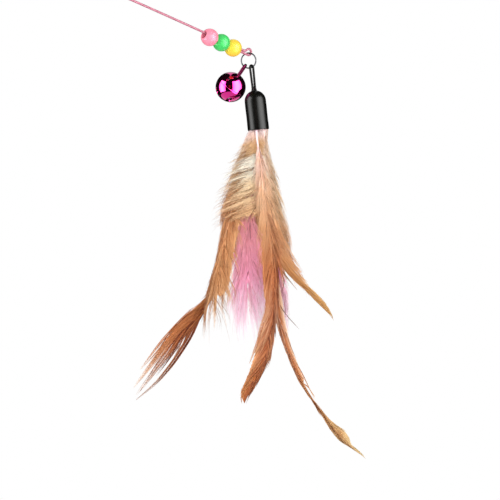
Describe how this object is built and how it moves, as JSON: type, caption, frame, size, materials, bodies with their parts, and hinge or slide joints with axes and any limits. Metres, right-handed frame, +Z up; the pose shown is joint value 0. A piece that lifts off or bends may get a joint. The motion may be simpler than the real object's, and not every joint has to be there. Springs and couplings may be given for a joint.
{
  "type": "cat teaser wand",
  "caption": "Springy coated wire wand with a finger loop, threaded beads, a jump ring, a jingle bell and a capped spray of feathers.",
  "frame": {"origin": "centre of the finger loop, where a finger or hook holds the wand", "axes": "+X from the finger loop towards the toy in the plane of the bowed wire, +Z up with the toy hanging, +Y to the left of +X"},
  "size_m": [0.4563, 0.037, 0.1805],
  "materials": {
    "spring_steel": "drawn spring wire",
    "pink_coating": "extruded plastic coating, slightly glossy",
    "pink_bead": "moulded, glossy",
    "green_bead": "moulded, glossy",
    "yellow_bead": "moulded, glossy",
    "plated_ring": "nickel plated",
    "magenta_metal": "mirror bright under magenta lacquer",
    "steel_pea": "tumbled",
    "black_vinyl": "dipped vinyl, glossy",
    "glue": "set hot glue",
    "brown_hackle": "feather, reddish brown with a dark middle",
    "golden_hackle": "feather, golden brown",
    "pink_plume": "dyed down",
    "tan_down": "tan down",
    "cream_down": "cream down"
  },
  "bodies": {
    "wand": {"wire_core": "spring_steel", "wire_coating": "pink_coating"},
    "yellow_bead": {"bead_yellow": "yellow_bead"},
    "green_bead": {"bead_green": "green_bead"},
    "pink_bead": {"bead_pink": "pink_bead"},
    "hand_yellow_bead": {"hand_bead_yellow": "yellow_bead"},
    "hand_green_bead": {"hand_bead_green": "green_bead"},
    "hand_pink_bead": {"hand_bead_pink": "pink_bead"},
    "ring": {"jump_ring": "plated_ring"},
    "bell": {"bell_upper_shell": "magenta_metal", "bell_lower_shell": "magenta_metal", "bell_shackle": "magenta_metal"},
    "pea": {"bell_pea": "steel_pea"},
    "lure": {"feather_cap": "black_vinyl", "glue_plug": "glue", "hackle_left": "brown_hackle", "hackle_centre": "brown_hackle", "hackle_right": "brown_hackle", "hackle_gold": "golden_hackle", "plume_pink": "pink_plume", "plume_pink_back": "pink_plume", "down_left": "tan_down", "down_front": "cream_down", "down_right": "tan_down", "down_middle": "tan_down", "down_back": "cream_down"}
  },
  "joints": [
    {"name": "ring_swing", "type": "hinge", "parent": "wand", "child": "ring", "pos_m": [0.40788, 0, 0.06988], "axis": [1, 0, 0], "range_deg": [-15, 25]},
    {"name": "bell_swing", "type": "hinge", "parent": "ring", "child": "bell", "pos_m": [0.40708, 0.00119, 0.06608], "axis": [0.4558, -0.6758, -0.5793], "range_deg": [-20, 40]},
    {"name": "pea_roll", "type": "hinge", "parent": "bell", "child": "pea", "pos_m": [0.40444, 0.0051, 0.05943], "axis": [0.829, 0.5592, 0], "range_deg": [-50, 50]},
    {"name": "lure_swing", "type": "hinge", "parent": "ring", "child": "lure", "pos_m": [0.40844, -0.00084, 0.06583], "axis": [0.5108, -0.7574, 0.4067], "range_deg": [-40, 20]},
    {"name": "yellow_bead_spin", "type": "hinge", "parent": "wand", "child": "yellow_bead", "pos_m": [0.4013, 0, 0.07211], "axis": [0.9483, 0, -0.3173], "continuous": true},
    {"name": "green_bead_spin", "type": "hinge", "parent": "wand", "child": "green_bead", "pos_m": [0.39638, 0, 0.07376], "axis": [0.9483, 0, -0.3173], "continuous": true},
    {"name": "pink_bead_spin", "type": "hinge", "parent": "wand", "child": "pink_bead", "pos_m": [0.39146, 0, 0.0754], "axis": [0.9483, 0, -0.3173], "continuous": true},
    {"name": "hand_yellow_bead_spin", "type": "hinge", "parent": "wand", "child": "hand_yellow_bead", "pos_m": [0.01502, 0, 0.02198], "axis": [-0.5642, 0, -0.8257], "continuous": true},
    {"name": "hand_green_bead_spin", "type": "hinge", "parent": "wand", "child": "hand_green_bead", "pos_m": [0.01794, 0, 0.02626], "axis": [-0.5642, 0, -0.8257], "continuous": true},
    {"name": "hand_pink_bead_spin", "type": "hinge", "parent": "wand", "child": "hand_pink_bead", "pos_m": [0.02087, 0, 0.03054], "axis": [-0.5642, 0, -0.8257], "continuous": true}
  ]
}
